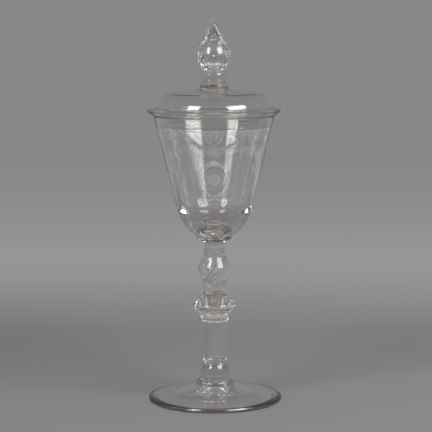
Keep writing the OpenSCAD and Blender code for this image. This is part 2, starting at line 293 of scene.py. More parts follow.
def turned(points, marks, around=AROUND, inward=False):
    """Surface of revolution: outline point (r, z) at turn a goes to (r cos a, r sin a, z). An end on
    the axis becomes one point with a fan of triangles, and an outline off the axis joins up."""
    turn = np.linspace(0, 2 * np.pi, around, endpoint=False)
    on_axis = points[:, 0] < TINY
    closed = not on_axis.any()
    rings = points[~on_axis]
    mesh_points = np.stack([rings[:, :1] * np.cos(turn), rings[:, :1] * np.sin(turn),
                            np.repeat(rings[:, 1:], around, 1)], 2).reshape(-1, 3)
    low = np.arange(len(rings) * around).reshape(len(rings), around)
    high = np.roll(low, -1, 0) if closed else low[1:]
    low_rows = low if closed else low[:-1]
    quads = np.stack([low_rows, np.roll(low_rows, -1, 1), np.roll(high, -1, 1), high], 2)
    faces = [quads.reshape(-1, 4)]
    marks_of = [np.repeat(marks[int(on_axis[0]):len(marks) - int(on_axis[-1])], around)]
    for end, ring, order in ((0, low[0], (0, 2, 1)), (-1, low[-1], (0, 1, 2))):
        if on_axis[end]:
            pole = np.full(around, len(mesh_points))
            mesh_points = np.vstack([mesh_points, [[0, 0, points[end, 1]]]])
            fan = np.stack([pole, ring, np.roll(ring, -1)], 1)[:, order]
            faces.append(fan)
            marks_of.append(np.full(around, marks[end]))
    if inward:
        faces = [part[:, ::-1] for part in faces]
    return mesh_points, faces, np.concatenate(marks_of)


def joined(shells):
    """Points and faces of several shells, each counted on from the last."""
    starts = np.cumsum([0] + [len(shell[0]) for shell in shells])
    faces = [face for start, shell in zip(starts, shells)
             for part in shell[1] for face in (part + start).tolist()]
    return np.vstack([shell[0] for shell in shells]), faces


def new_mesh(name, points, faces, *finishes):
    """A mesh with these finishes."""
    mesh = bpy.data.meshes.new(name)
    mesh.from_pydata(points, [], faces)
    for finish in finishes:
        mesh.materials.append(finish)
    return mesh


def void(points, around=AROUND):
    """A closed space in the glass, turned, with its faces towards the air in it."""
    return turned(*outline(points), around=around, inward=True)


print("turning tools are ready")

# %% [markdown]
# Glass has no look of its own: it shows the room, bent. The stage is a plain pale grey floor that
# runs on to the horizon, so that every side of the goblet stands before the same quiet grey. It is
# a turned form too, with rings that grow by even ratios.

# %% Floor
FLOOR_HUB, FLOOR_REACH = 0.05, 60.0
FLOOR_RINGS, FLOOR_SPOKES = 40, 96
FLOOR_DROP = 0.2 * MM

rings = np.append(np.geomspace(FLOOR_REACH, FLOOR_HUB, FLOOR_RINGS), 0)
disc = outline(np.column_stack([rings, np.full(len(rings), -FLOOR_DROP)]))
floor_mesh = new_mesh("floor", *joined([turned(*disc, around=FLOOR_SPOKES)]))
put("floor", floor_mesh)
print("floor reaches", FLOOR_REACH, "m")

# %% [markdown]
# Near the goblet the paper takes the lamps' light and the shadow, and far away it glows by itself.
# Its tones are pairs of metres behind the goblet and the grey to be seen there. They are painted
# light and shade: darker just behind the goblet, brightest 0.6 to 0.8 m back, greyer far off. The
# lamps' level falls towards the back, so the lit paper gets each tone divided by that level.

# %% Grey paper
FLOOR_TINT = (1.0, 0.997, 1.03)
# Painted light and shade: a darker band just behind the goblet, a brighter one 0.6 to 0.8 m back.
FLOOR_PAINTED_TONES = ((-0.10, 0.242), (0.05, 0.236), (0.18, 0.221), (0.30, 0.219), (0.47, 0.266), (0.62, 0.302),
               (0.80, 0.306), (1.02, 0.286), (1.38, 0.262), (2.0, 0.246))
LAMP_LEVEL = 0.74
LAMP_FALL = 0.44
FRONT_LIMIT = -1.0
FAR_FROM, FAR_FULL = 0.4, 0.9

paper, nodes, place = new_finish("grey_paper")
distance = nodes.add("VectorMath", {0: place}, "Value", operation="LENGTH")
behind = coordinate(place, "Y")
nearest, farthest = FLOOR_PAINTED_TONES[0][0], FLOOR_PAINTED_TONES[-1][0]
stops = [((y - nearest) / (farthest - nearest), (tone, tone, tone, 1)) for y, tone in FLOOR_PAINTED_TONES]
tone = nodes.add("ValToRGB", {0: (behind - nearest) / (farthest - nearest)}, stops=stops)
near = nodes.add("Clamp", {"Value": behind, "Min": FRONT_LIMIT, "Max": FAR_FULL})
level = LAMP_LEVEL - LAMP_FALL * near
lit_tone = nodes.add("VectorMath", {0: tone, "Scale": 1 / level}, operation="SCALE")
lit_colour = nodes.add("VectorMath", {0: lit_tone, 1: FLOOR_TINT}, operation="MULTIPLY")
glow_colour = nodes.add("VectorMath", {0: tone, 1: FLOOR_TINT}, operation="MULTIPLY")
lit = nodes.add("BsdfDiffuse", {"Color": lit_colour})
glow = nodes.add("Emission", {"Color": glow_colour})
shade = nodes.add("MixShader", {0: smooth_step(distance, FAR_FROM, FAR_FULL), 1: lit, 2: glow})
nodes.add("OutputMaterial", {"Surface": shade})
paper.cycles.emission_sampling = "NONE"
floor_mesh.materials.append(paper)
print("paper has", len(FLOOR_PAINTED_TONES), "tones")

# %% [markdown]
# Two big softboxes stand in front, to the left and right. Each is a lamp that lights matt surfaces
# at a plain level, and a window just before it that shows only in the glass, where a real softbox is
# far brighter than white paper. It fades towards its edges, as cloth with one bulb behind it does.

# %% Softboxes
SOFTBOX_TURNS = {"left": -43.0, "right": 50.0}
SOFTBOX_WIDTHS = {"left": 0.65, "right": 1.12}
SOFTBOX_TALL = 0.74
SOFTBOX_RISE = 33.5
SOFTBOX_AWAY = 1.5
SOFTBOX_LIGHT = 6.8
WINDOW_GLOW = 11.0
WINDOW_STEP = 0.02
WINDOW_SOFT = {"X": 0.35, "Y": 0.3}
MIDDLE = 0.5 * (cad_box[0][2] + cad_box[1][2])


def stand_up(name, data, side, away):
    """Puts a softbox or its window in front of the goblet, turned to face it."""
    rise, turn = math.radians(SOFTBOX_RISE), math.radians(SOFTBOX_TURNS[side])
    stand = put(name, data)
    stand.location = (away * math.cos(rise) * math.sin(turn),
                      -away * math.cos(rise) * math.cos(turn),
                      MIDDLE + away * math.sin(rise))
    stand.rotation_euler = (math.pi / 2 - rise, 0, turn)
    return stand


def softbox(side):
    """A flat lamp. Its power is pi times its area times its radiance."""
    lamp = bpy.data.lights.new("softbox_" + side, "AREA")
    lamp.shape = "RECTANGLE"
    lamp.size, lamp.size_y = SOFTBOX_WIDTHS[side], SOFTBOX_TALL
    lamp.energy = math.pi * lamp.size * lamp.size_y * SOFTBOX_LIGHT
    stand = stand_up(lamp.name, lamp, side, SOFTBOX_AWAY)
    stand.visible_camera = stand.visible_glossy = stand.visible_transmission = False


def window(side):
    """A glowing rectangle: it fades smoothly over an outer share of its width and of its height."""
    wide, tall = SOFTBOX_WIDTHS[side] / 2, SOFTBOX_TALL / 2
    corners = [(-wide, -tall, 0), (-wide, tall, 0), (wide, tall, 0), (wide, -tall, 0)]
    cloth, nodes, place = new_finish("window_cloth_" + side)
    fade = 1.0
    for axis, half in (("X", wide), ("Y", tall)):
        along = nodes.add("Math", {0: coordinate(place, axis)}, operation="ABSOLUTE")
        fade = fade * smooth_step(along, half * (1 - WINDOW_SOFT[axis]), half, 1.0, 0.0)
    glow = nodes.add("Emission", {"Color": fade, "Strength": WINDOW_GLOW})
    nodes.add("OutputMaterial", {"Surface": glow})
    cloth.cycles.emission_sampling = "NONE"
    mesh = new_mesh("window_" + side, corners, [(0, 1, 2, 3)], cloth)
    stand = stand_up(mesh.name, mesh, side, SOFTBOX_AWAY - WINDOW_STEP)
    stand.visible_camera = stand.visible_diffuse = stand.visible_shadow = False


for side in SOFTBOX_TURNS:
    softbox(side)
    window(side)
print("softboxes stand", SOFTBOX_AWAY, "m away")

# %% [markdown]
# Elsewhere the glass shows the rest of the room: grey at table height, and dark high up in front, so
# that dark streaks set off the windows. A picture of a room would do, but two smooth steps on the
# direction are easier to steer. Matt surfaces take an even fill. Caustics are off, because at few
# samples they are only noise.

# %% Room
ROOM_GREY = (0.246, 0.245, 0.253, 1.0)
ROOM_DARK = (0.03, 0.03, 0.031, 1.0)
ROOM_FILL = 0.12
DARK_FROM, DARK_FULL = 0.1, 0.45
FRONT_FULL, FRONT_END = -0.3, 0.3
GLASS_BOUNCES, MIRROR_BOUNCES, SEAM_PASSES = 32, 16, 64

world = bpy.data.worlds.new("room")
scene.world = world
nodes = Nodes(world)
direction = nodes.add("TexCoord", out="Generated")
high = smooth_step(coordinate(direction, "Z"), DARK_FROM, DARK_FULL)
front = smooth_step(coordinate(direction, "Y"), FRONT_FULL, FRONT_END, 1.0, 0.0)
looks = nodes.add("LightPath", out="Is Camera Ray") + nodes.add("LightPath", out="Is Glossy Ray")
looks = looks + nodes.add("LightPath", out="Is Transmission Ray")
looks = nodes.add("Math", {0: looks, 1: 1.0}, operation="MINIMUM")
shown = nodes.add("Background", {"Color": mixed(high * front, ROOM_GREY, ROOM_DARK)})
fill = nodes.add("Background", {"Color": (1, 1, 1, 1), "Strength": ROOM_FILL})
room = nodes.add("MixShader", {0: looks, 1: fill, 2: shown})
nodes.add("OutputWorld", {"Surface": room})
scene.cycles.caustics_reflective = False
scene.cycles.caustics_refractive = False
scene.cycles.max_bounces = GLASS_BOUNCES
scene.cycles.transmission_bounces = GLASS_BOUNCES
scene.cycles.glossy_bounces = MIRROR_BOUNCES
scene.cycles.transparent_max_bounces = SEAM_PASSES
print("room fill", ROOM_FILL)

# %% [markdown]
# The glass is a pale potash-lime metal with slow waves in its skin from the fire. Thin walls look
# clear, but a rim or a solid base is seen through several centimetres of it and turns a brownish
# grey. A volume could give that, but the surface alone can too: the shader measures each way through
# the glass. The longer it is, the more of the pale glass gives way to a brown one, and a share of the
# light is lost. Lamps shine through in part, so bowl and stem cast a soft shadow. A thin matt film
# stands for wear.

# %% Clear glass
GLASS_INDEX = 1.52
GLASS_TINT = (0.966, 0.963, 0.956, 1.0)
GLASS_DEEP = (0.80, 0.69, 0.57, 1.0)
GLASS_BROWN = (0.24, 0.19, 0.145, 1.0)
GLASS_WORN = (0.80, 0.77, 0.75, 1.0)
GLASS_WARMING = 22.0
GLASS_LOSS = 1.0
WAVE_SCALE, SEED_SCALE, HAZE_SCALE = 70.0, 650.0, 220.0
SKIN_RELIEF, SKIN_DEPTH = 0.05, 1.0 * MM
HAZE_MOST = 0.02
LAMP_SHARE = 0.64


def left_after(way, rate):
    """The share that a way through the glass leaves: e to the power of minus rate times way."""
    return way.nodes.add("Math", {0: way * -rate}, operation="EXPONENT")


def clear_glass(name, brown_mask=None, seeds=0.0, depth=1.0, wear=0.0, lamp_share=LAMP_SHARE):
    """Blown glass. A brown mask turns a place into how brown the glass is there, seeds roughen the skin,
    depth scales how fast colour grows with the way through it, and wear is a faint matt film."""
    material, nodes, place = new_finish(name)
    waves = noise(place, WAVE_SCALE, 1.0)
    if seeds:
        waves = waves + seeds * noise(place, SEED_SCALE, 1.0)
    skin = nodes.add("Bump", {"Strength": SKIN_RELIEF, "Distance": SKIN_DEPTH, "Height": waves})
    haze = noise(place, HAZE_SCALE, 2.0)
    behind = nodes.add("NewGeometry", out="Backfacing")
    film = wear * (1 - behind)
    tints = [GLASS_TINT, GLASS_DEEP]
    if brown_mask:
        share = brown_mask(place)
        film = film * (1 - share)
        tints = [mixed(share, tint, GLASS_BROWN) for tint in tints]
    pale, deep = (nodes.add("BsdfPrincipled", {
        "Base Color": tint, "Roughness": haze * HAZE_MOST, "IOR": GLASS_INDEX,
        "Transmission Weight": 1.0, "Normal": skin}) for tint in tints)
    way = nodes.add("LightPath", out="Ray Length") * behind
    glass = nodes.add("MixShader", {0: 1 - left_after(way, GLASS_WARMING * depth), 1: pale, 2: deep})
    lost = nodes.add("BsdfDiffuse", {"Color": (0, 0, 0, 1)})
    seen = nodes.add("MixShader", {0: 1 - left_after(way, GLASS_LOSS * depth), 1: glass, 2: lost})
    worn = nodes.add("BsdfDiffuse", {"Color": GLASS_WORN})
    seen = nodes.add("MixShader", {0: film, 1: seen, 2: worn})
    through = nodes.add("BsdfTransparent", {"Color": (lamp_share, lamp_share, lamp_share, 1)})
    for_lamps = nodes.add("LightPath", out="Is Shadow Ray")
    both = nodes.add("MixShader", {0: for_lamps, 1: seen, 2: through})
    nodes.add("OutputMaterial", {"Surface": both})
    return material


def fused_seam():
    """The skin between two fused gathers, which isn't there to be seen: its alpha is nothing."""
    material = bpy.data.materials.new("fused_seam")
    nodes = Nodes(material)
    gone = nodes.add("BsdfPrincipled", {"Base Color": GLASS_TINT, "Alpha": 0.0})
    nodes.add("OutputMaterial", {"Surface": gone})
    return material


print("glass of index", GLASS_INDEX)

# %% [markdown]
# Old glass isn't equally clear all over: the crown of the cover has a brown cast, and specks gather
# at the joints. The folded rim is painted darker and browner towards its edge. Each of these is a
# mask worked out from the place on the glass, so no picture has to be painted.

# %% Stains and finishes
RIM_DARKENING_FROM, RIM_DARKENING_FULL = 5.5 * MM, 1.5 * MM
CROWN_STAIN_FROM, CROWN_STAIN_FULL = 6.7 * MM, 3.7 * MM
CROWN_STAIN_MOST = 0.22
SPECK_SCALE = 420.0
SPECK_FROM, SPECK_FULL = 0.4, 0.62
JOINT_SEEDS = 6.0
COLLAR_DEPTH = 0.1
FOOT_WEAR, STEM_WEAR, COLLAR_WEAR, COVER_WEAR = 0.04, 0.08, 0.1, 0.02
THIN_LAMP_SHARE, FOOT_LAMP_SHARE = 0.82, 0.98


def rim_darkening(place):
    """Darker, browner glass painted towards the edge of the thick folded rim: grows with the distance from
    the axis, close to the edge.
    """
    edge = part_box("foot")[1].x
    flat = place.nodes.add("VectorMath", {0: place, 1: (1, 1, 0)}, operation="MULTIPLY")
    out = place.nodes.add("VectorMath", {0: flat}, "Value", operation="LENGTH")
    return smooth_step(out, edge - RIM_DARKENING_FROM, edge - RIM_DARKENING_FULL)


def crown_stain(place):
    """A light brown cast on top of the cover: grows with the height, close to the finial."""
    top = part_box("cover_shell")[1].z
    up = coordinate(place, "Z")
    return smooth_step(up, top - CROWN_STAIN_FROM, top - CROWN_STAIN_FULL, 0.0, CROWN_STAIN_MOST)


def joint_stain(place):
    """Brown specks where residue and small bubbles gather at a joint: the peaks of a noise."""
    return smooth_step(noise(place, SPECK_SCALE, 2.0), SPECK_FROM, SPECK_FULL)


CLEAR = clear_glass("clear_glass")
# The folded rim is painted darker and browner towards its edge.
RIMMED = clear_glass("foot_glass", rim_darkening, wear=FOOT_WEAR, lamp_share=FOOT_LAMP_SHARE)
CROWNED = clear_glass("cover_glass", crown_stain, wear=COVER_WEAR, lamp_share=THIN_LAMP_SHARE)
WORN = clear_glass("worn_glass", wear=STEM_WEAR)
THIN = clear_glass("bowl_glass", lamp_share=THIN_LAMP_SHARE)
SEEDY = clear_glass("joint_glass", joint_stain, JOINT_SEEDS)
SPECKLED = clear_glass("speckled_glass", seeds=JOINT_SEEDS, depth=COLLAR_DEPTH, wear=COLLAR_WEAR)
FUSED = fused_seam()
print(len(bpy.data.materials), "finishes, with those of the stage")

# %% [markdown]
# A gather can hold hollows and beads, each a closed shell of its own within the outer one. All the
# shells of a gather go into one mesh, and each face gets the finish of its mark. Hand-made glass is
# never quite round, so all points are moved by one slow unevenness, and neighbours still meet.

# %% Pieces from shells
UNEVEN = ((0.0016, 2, 0.021, 0.4), (0.0011, 3, -0.034, 1.7), (0.0007, 5, 0.05, 0.0))
SHARP_FROM = math.radians(40)
SWELL_STEPS = 90


def uneven(points):
    """Each row of share, lobes, drift and start swells the radius, at turn a and height z in
    millimetres, by share sin(lobes a + drift z + start)."""
    turn, climb = np.arctan2(points[:, 1], points[:, 0]), points[:, 2]
    swell = 1 + sum(share * np.sin(lobes * turn + drift * climb + start)
                    for share, lobes, drift, start in UNEVEN)
    return points * np.column_stack([swell, swell, np.ones(len(points))])


def make_piece(name, body, shells, finish=CLEAR):
    """Puts shells of (points, faces, marks), in millimetres, into one mesh that stands for its node."""
    points, faces = joined(shells)
    marks = np.concatenate([shell[2] for shell in shells])
    mesh = new_mesh(name, uneven(points) * MM, faces, finish, FUSED)
    mesh.polygons.foreach_set("material_index", marks.astype(np.int32))
    mesh.shade_smooth()
    mesh.set_sharp_from_angle(angle=SHARP_FROM)
    piece = put(name + "_glass", mesh)
    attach(piece, body)
    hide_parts(name)
    print(name, len(mesh.polygons), "faces")


def place_of(node):
    """Lowest height, height and widest radius of a measured node, in millimetres."""
    low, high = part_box(node)
    return low.z / MM, (high.z - low.z) / MM, high.x / MM


def make_swelling(node, body, keys, contact_low, contact_high, inside=(), finish=CLEAR):
    """A piece that swells by its keys over its node's height, with flat ends and shells inside it."""
    low, tall, _ = place_of(node)
    share = np.linspace(0, 1, SWELL_STEPS + 1)
    side = np.column_stack([swell_radius(keys, share), low + tall * share])
    make_piece(node, body, [turned(*capped(side, contact_low, contact_high)), *inside], finish=finish)


print("piece tools are ready")

# %% [markdown]
# The foot is a low cone with a folded rim, blown and spun out, and its underside is hollow so that
# it stands on its rim alone. A ground dish marks where the pontil rod was broken off. Bevels on a
# plain cone would come close, but arcs and bends in one outline give the fold its true curve.

# %% Foot
FOOT_AROUND = 256
FOOT_RIM = 3.6
FOOT_FOLD = 8.0
FOLD_STEP = 1.0
KICK = 8.6
PONTIL = 10.0
PONTIL_DEPTH = 0.8
COLLAR_LOW = 16.2
KICK_LEAN = (0.3, 0.5)
SPREAD_LEAN = (0.3, 0.36)

_, foot_tall, foot_wide = place_of("foot")
rim_middle = foot_wide - FOOT_RIM / 2
fold = foot_wide - FOOT_FOLD
dish = np.linspace(0, 1, 17)
kick_lean = (PONTIL + KICK_LEAN[0] * (fold - PONTIL), FOLD_STEP + KICK_LEAN[1] * (KICK - FOLD_STEP))
spread_lean = (COLLAR_LOW + SPREAD_LEAN[0] * (rim_middle - COLLAR_LOW),
               FOOT_RIM + SPREAD_LEAN[1] * (foot_tall - FOOT_RIM))
foot_outline = outline(
    np.column_stack([PONTIL * dish, KICK + PONTIL_DEPTH * (1 - dish ** 2)]),
    bend((PONTIL, KICK), kick_lean, (fold, FOLD_STEP)),
    arc((fold + FOLD_STEP, FOLD_STEP), FOLD_STEP, FOLD_STEP, 180, 270, 10),
    6,
    arc((rim_middle, FOOT_RIM / 2), FOOT_RIM / 2, FOOT_RIM / 2, -90, 90),
    bend((rim_middle, FOOT_RIM), spread_lean, (COLLAR_LOW, foot_tall), 60),
    seam((COLLAR_LOW, foot_tall), (0, foot_tall)))
make_piece("foot", "goblet", [turned(*foot_outline, around=FOOT_AROUND)], finish=RIMMED)

# %% [markdown]
# The stem is a pile of small gathers, from the collar on the foot to the one under the bowl. Each is
# turned by itself, and where two meet, both outlines mark the same seam.

# %% Foot collar and basal knop
COLLAR_TOP, COLLAR_SWELL = 14.0, 0.7
BASAL_LOW, BASAL_TOP = 11.5, 10.1

low, tall, _ = place_of("foot_collar")
share = np.linspace(0, 1, 33)
radius = COLLAR_LOW + (COLLAR_TOP - COLLAR_LOW) * share + COLLAR_SWELL * np.sin(np.pi * share)
side = np.column_stack([radius, low + tall * share])
make_piece("foot_collar", "goblet", [turned(*capped(side, COLLAR_LOW, BASAL_LOW))], finish=SPECKLED)

wide = place_of("basal_knop")[2]
basal_keys = [(BASAL_LOW, 0), (wide, 0.38), (0.96 * wide, 0.7), (BASAL_TOP, 1)]
make_swelling("basal_knop", "goblet", basal_keys, BASAL_LOW, BASAL_TOP)

# %% [markdown]
# The column is blown, so a sealed hollow runs through it, and its ends show as bright rings. A
# boolean cut could make the hollow, but a second outline that keeps the wall's thickness is cleaner.

# %% Blown column
COLUMN_WAIST, COLUMN_TOP = 9.2, 11.6
COLUMN_WALL = 2.2
COLUMN_ENDS = (1.0, 1.0)
COLUMN_BLUNT = (14, 50)


def blown_hollow(node, keys, wall, ends, blunt, count=120):
    """Outline of a sealed hollow that leaves a floor and a roof at its ends. At share s of its own
    height its radius is what the wall leaves, times sqrt(1 - |2 s - 1|^blunt), so it closes in blunt
    rounds. It has one blunt for its lower half and one for its upper half."""
    low, tall, _ = place_of(node)
    share = crowded(count)
    height = ends[0] + (tall - sum(ends)) * share
    power = np.where(share < 0.5, *blunt)
    closing = np.sqrt(np.clip(1 - np.abs(2 * share - 1) ** power, 0, 1))
    return np.column_stack([(swell_radius(keys, height / tall) - wall) * closing, low + height])


column_keys = [(BASAL_TOP, 0), (COLUMN_WAIST, 0.43), (1.032 * COLUMN_WAIST, 0.75), (COLUMN_TOP, 1)]
hollow = blown_hollow("stem_column", column_keys, COLUMN_WALL, COLUMN_ENDS, COLUMN_BLUNT)
make_swelling("stem_column", "goblet", column_keys, BASAL_TOP, COLUMN_TOP, [void(hollow)], WORN)

# %% [markdown]
# For the wide knop, dents were pricked into a gather and covered with more glass, which caught a
# ring of air beads. A bead is a small turned void, copied round the axis. The thin collar on top is
# a disc with a half-round edge, squeezed between two gathers.

# %% Beaded knop and its collar
BEAD_LEAN = 0.2
BEAD_STEPS, BEAD_AROUND = 24, 32
COLLAR_EDGE = 0.4
KNOP_BEADS, KNOP_BEAD_WIDE, KNOP_BEAD_TALL = 12, 4.0, 9.0
KNOP_BEAD_RING, KNOP_BEAD_HEIGHT = 10.0, 5.5
KNOP_LOW, KNOP_SHOULDER, KNOP_TOP = 13.5, 14.9, 10.2


def bead_ring(count, ring, middle, wide, tall):
    """A ring of air beads: each is r = w/2 sin a (1 + lean cos a), z = -h/2 cos a, turned and moved out."""
    angle = np.linspace(0, np.pi, BEAD_STEPS + 1)
    radius = wide / 2 * np.sin(angle) * (1 + BEAD_LEAN * np.cos(angle))
    points, faces, marks = void(np.column_stack([radius, -tall / 2 * np.cos(angle)]), BEAD_AROUND)
    shells = []
    for turn in 2 * np.pi * np.arange(count) / count - np.pi / 2:
        move = np.array([ring * np.cos(turn), ring * np.sin(turn), middle])
        shells.append((points + move, faces, marks))
    return shells


def collar_flat(node):
    """Radius of a collar's flat faces: its edge is rounded over a share of its height."""
    _, tall, wide = place_of(node)
    return wide - COLLAR_EDGE * tall


def collar(node, body, contact_low, contact_high):
    """A disc with a half-round edge, squeezed between two pieces."""
    low, tall, wide = place_of(node)
    flat = collar_flat(node)
    round_edge = arc((flat, low + tall / 2), wide - flat, tall / 2, -90, 90, 32)
    make_piece(node, body, [turned(*capped(round_edge, contact_low, contact_high))], finish=SEEDY)


low, _, wide = place_of("beaded_knop")
knop_keys = [(COLUMN_TOP, 0), (KNOP_LOW, 0.24), (0.94 * wide, 0.44), (wide, 0.54), (KNOP_SHOULDER, 0.82),
             (KNOP_TOP, 1)]
knop_flat = collar_flat("knop_collar")
knop_beads = bead_ring(KNOP_BEADS, KNOP_BEAD_RING, low + KNOP_BEAD_HEIGHT, KNOP_BEAD_WIDE, KNOP_BEAD_TALL)
make_swelling("beaded_knop", "goblet", knop_keys, COLUMN_TOP, knop_flat, knop_beads)
collar("knop_collar", "goblet", knop_flat, knop_flat)

# %% [markdown]
# The baluster was blown into a ribbed mould, twisted, and then cased in smooth glass. So its outside
# is plain, and the ribs run round the hollow inside it, where they bend the light into fine lines.

# %% Twisted baluster
RIBS, RIB_STEPS = 20, 20
RIB_DEPTH = 0.8
RIB_FADE = 0.7
RIB_TWIST = math.radians(130)
BALUSTER_END, BALUSTER_LOW, BALUSTER_WIDE, BALUSTER_TOP = 9.2, 10.1, 14.1, 9.8
BALUSTER_WALL = 2.6
BALUSTER_ENDS = (1.4, 1.6)
BALUSTER_BLUNT = (2.4, 2.0)
NECK_FLARE, NECK_WAIST, NECK_TOP = 9.75, 8.5, 9.6


def ribbed(node, shell):
    """Presses the ribs in: at share s of the height and turn a the radius loses
    depth/2 (1 - cos(ribs (a - twist s))), with depth growing from both ends as sin(pi s)^fade."""
    low, tall, _ = place_of(node)
    points, faces, marks = shell
    radius = np.hypot(points[:, 0], points[:, 1])
    share = np.clip((points[:, 2] - low) / tall, 0, 1)
    turn = np.arctan2(points[:, 1], points[:, 0])
    depth = RIB_DEPTH * np.sin(np.pi * share) ** RIB_FADE * np.minimum(radius / NECK_WAIST, 1)
    loss = depth / 2 * (1 - np.cos(RIBS * (turn - RIB_TWIST * share)))
    shrink = np.where(radius > TINY, 1 - loss / np.maximum(radius, TINY), 1)
    return points * np.column_stack([shrink, shrink, np.ones(len(points))]), faces, marks


baluster_keys = [(BALUSTER_END, 0), (BALUSTER_LOW, 0.27), (0.85 * BALUSTER_WIDE, 0.46), (BALUSTER_WIDE, 0.68),
                 (0.915 * BALUSTER_WIDE, 0.79), (0.8 * BALUSTER_WIDE, 0.9), (BALUSTER_TOP, 1)]
hollow = blown_hollow("twisted_baluster", baluster_keys, BALUSTER_WALL, BALUSTER_ENDS, BALUSTER_BLUNT)
ribbed_hollow = ribbed("twisted_baluster", void(hollow, RIB_STEPS * RIBS))
make_swelling("twisted_baluster", "goblet", baluster_keys, knop_flat, NECK_FLARE, [ribbed_hollow], WORN)

# %% [markdown]
# A plain waisted neck and one more thin collar carry the bowl.

# %% Neck and its collar
neck_keys = [(NECK_FLARE, 0), (1.07 * NECK_WAIST, 0.22), (NECK_WAIST, 0.52), (1.04 * NECK_WAIST, 0.85),
             (NECK_TOP, 1)]
make_swelling("stem_neck", "goblet", neck_keys, NECK_FLARE, NECK_TOP, finish=WORN)
seat_flat = collar_flat("bowl_collar")
collar("bowl_collar", "goblet", NECK_TOP, seat_flat)

# %% [markdown]
# The bowl is a round funnel: a ball-shaped base, thick with glass, and a straight wall that thins
# to the rim. Outside and inside are each a ball and a cone that touches it. The angle where they
# touch is worked out, so no kink shows in the wall. The lip stays a hair below the loose cover.

# %% Bowl
BOWL_BASE = 31.5
BOWL_SEAT = 14.7
BOWL_RIM_WALL = 2.6
BOWL_BASE_WALL = 6.5
BOWL_SIDE_WALL = 2.8
RIM_ROUND = 0.8
LOOSE_FIT = 0.05
WALL_STEPS = 60

bowl_low, bowl_tall, bowl_wide = place_of("bowl")
rim_top = bowl_low + bowl_tall


def touching_angle(centre, radius, other, other_radius):
    """Angle at which a straight line touches two circles. A negative second radius puts that circle
    on the line's other side."""
    away = np.array(other) - np.array(centre)
    return math.degrees(math.atan2(away[1], away[0]) - math.acos((radius - other_radius) / np.hypot(*away)))


base_middle = (0, bowl_low + math.sqrt(BOWL_BASE ** 2 - BOWL_SEAT ** 2))
rim_outside = (bowl_wide - RIM_ROUND, rim_top - RIM_ROUND)
wall_outside = touching_angle(base_middle, BOWL_BASE, rim_outside, RIM_ROUND)
hollow_radius = BOWL_BASE - BOWL_SIDE_WALL
hollow_middle = (0, bowl_low + BOWL_BASE_WALL + hollow_radius)
rim_inside = (bowl_wide - BOWL_RIM_WALL + RIM_ROUND, rim_top - RIM_ROUND)
wall_inside = touching_angle(hollow_middle, hollow_radius, rim_inside, -RIM_ROUND)
seat_angle = -math.degrees(math.asin((base_middle[1] - bowl_low) / BOWL_BASE))

base_round = arc(base_middle, BOWL_BASE, BOWL_BASE, seat_angle, wall_outside, WALL_STEPS)
lip_outside = arc(rim_outside, RIM_ROUND, RIM_ROUND, wall_outside, 90, 10)
lip_inside = arc(rim_inside, RIM_ROUND, RIM_ROUND, 90, 180 + wall_inside, 10)
hollow_round = arc(hollow_middle, hollow_radius, hollow_radius, wall_inside, -90, WALL_STEPS)
lip_outside[:, 1] -= LOOSE_FIT
lip_inside[:, 1] -= LOOSE_FIT
bowl_outline = outline(seam((0, bowl_low), (seat_flat, bowl_low)), 2, base_round, WALL_STEPS, lip_outside, 1,
                       lip_inside, WALL_STEPS, hollow_round)
make_piece("bowl", "goblet", [turned(*bowl_outline, around=AROUND_WIDE)], THIN)

# %% [markdown]
# The ornament is cut with small copper wheels that leave matt, lens-shaped grooves. Each cut here is
# a curve from one point to another that leans towards a third, and it is widest in its middle. A
# motif is an array of such cuts on flat paper, in millimetres, and is then laid round the bowl.

# %% Wheel cuts
MIRROR = np.array([-1, 1, -1, 1, -1, 1, 1])
OVERLAP = 1.25
LATTICE_REACH = 0.8


def cuts(first, lean, last, wide):
    """Rows of seven: first point, leaning point, last point and width. Single ones serve all rows."""
    ends = [np.atleast_2d(np.asarray(point, float)) for point in (first, lean, last)]
    count = max(len(end) for end in ends)
    ends = [np.broadcast_to(end, (count, 2)) for end in ends]
    return np.column_stack(ends + [np.broadcast_to(wide, count)])


def moved(rows, across, up):
    """The same cuts, moved on the paper."""
    return rows + np.array([across, up, across, up, across, up, 0])


def left_of(way):
    """The direction a quarter turn to the left."""
    return np.stack([-way[..., 1], way[..., 0]], -1)


def both_hands(*rows):
    """The cuts and their mirror images."""
    rows = np.vstack(rows)
    return np.vstack([rows, rows * MIRROR])


def petals(count, inner, outer, wide, start=90.0, sweep=360.0):
    """Cuts that stand round a centre like the petals of a rosette or the leaves of a palmette."""
    steps = np.arange(count) / count if sweep == 360 else np.linspace(-0.5, 0.5, count)
    angle = np.radians(start + sweep * steps)
    out = np.column_stack([np.cos(angle), np.sin(angle)])
    return cuts(inner * out, (inner + outer) / 2 * out, outer * out, wide)


def oval(across, up, wide, count=12):
    """A line round an oval, in short cuts that overlap."""
    middle = np.linspace(0, 2 * np.pi, count, endpoint=False)
    reach = OVERLAP * np.pi / count
    before, on, after = (np.column_stack([across * np.cos(turn), up * np.sin(turn)])
                         for turn in (middle - reach, middle, middle + reach))
    return cuts(before, 2 * on - (before + after) / 2, after, wide)


def lattice(across, up, lines, wide):
    """Two sets of slanting lines that end on an oval: each is a chord of the unit circle, stretched."""
    offset = np.linspace(-LATTICE_REACH, LATTICE_REACH, lines)
    half = np.sqrt(1 - offset ** 2)
    first = np.column_stack([offset - half, offset + half]) * -math.sqrt(0.5) * [across, up]
    last = np.column_stack([offset + half, offset - half]) * -math.sqrt(0.5) * [across, up]
    return both_hands(cuts(first, (first + last) / 2, last, wide))


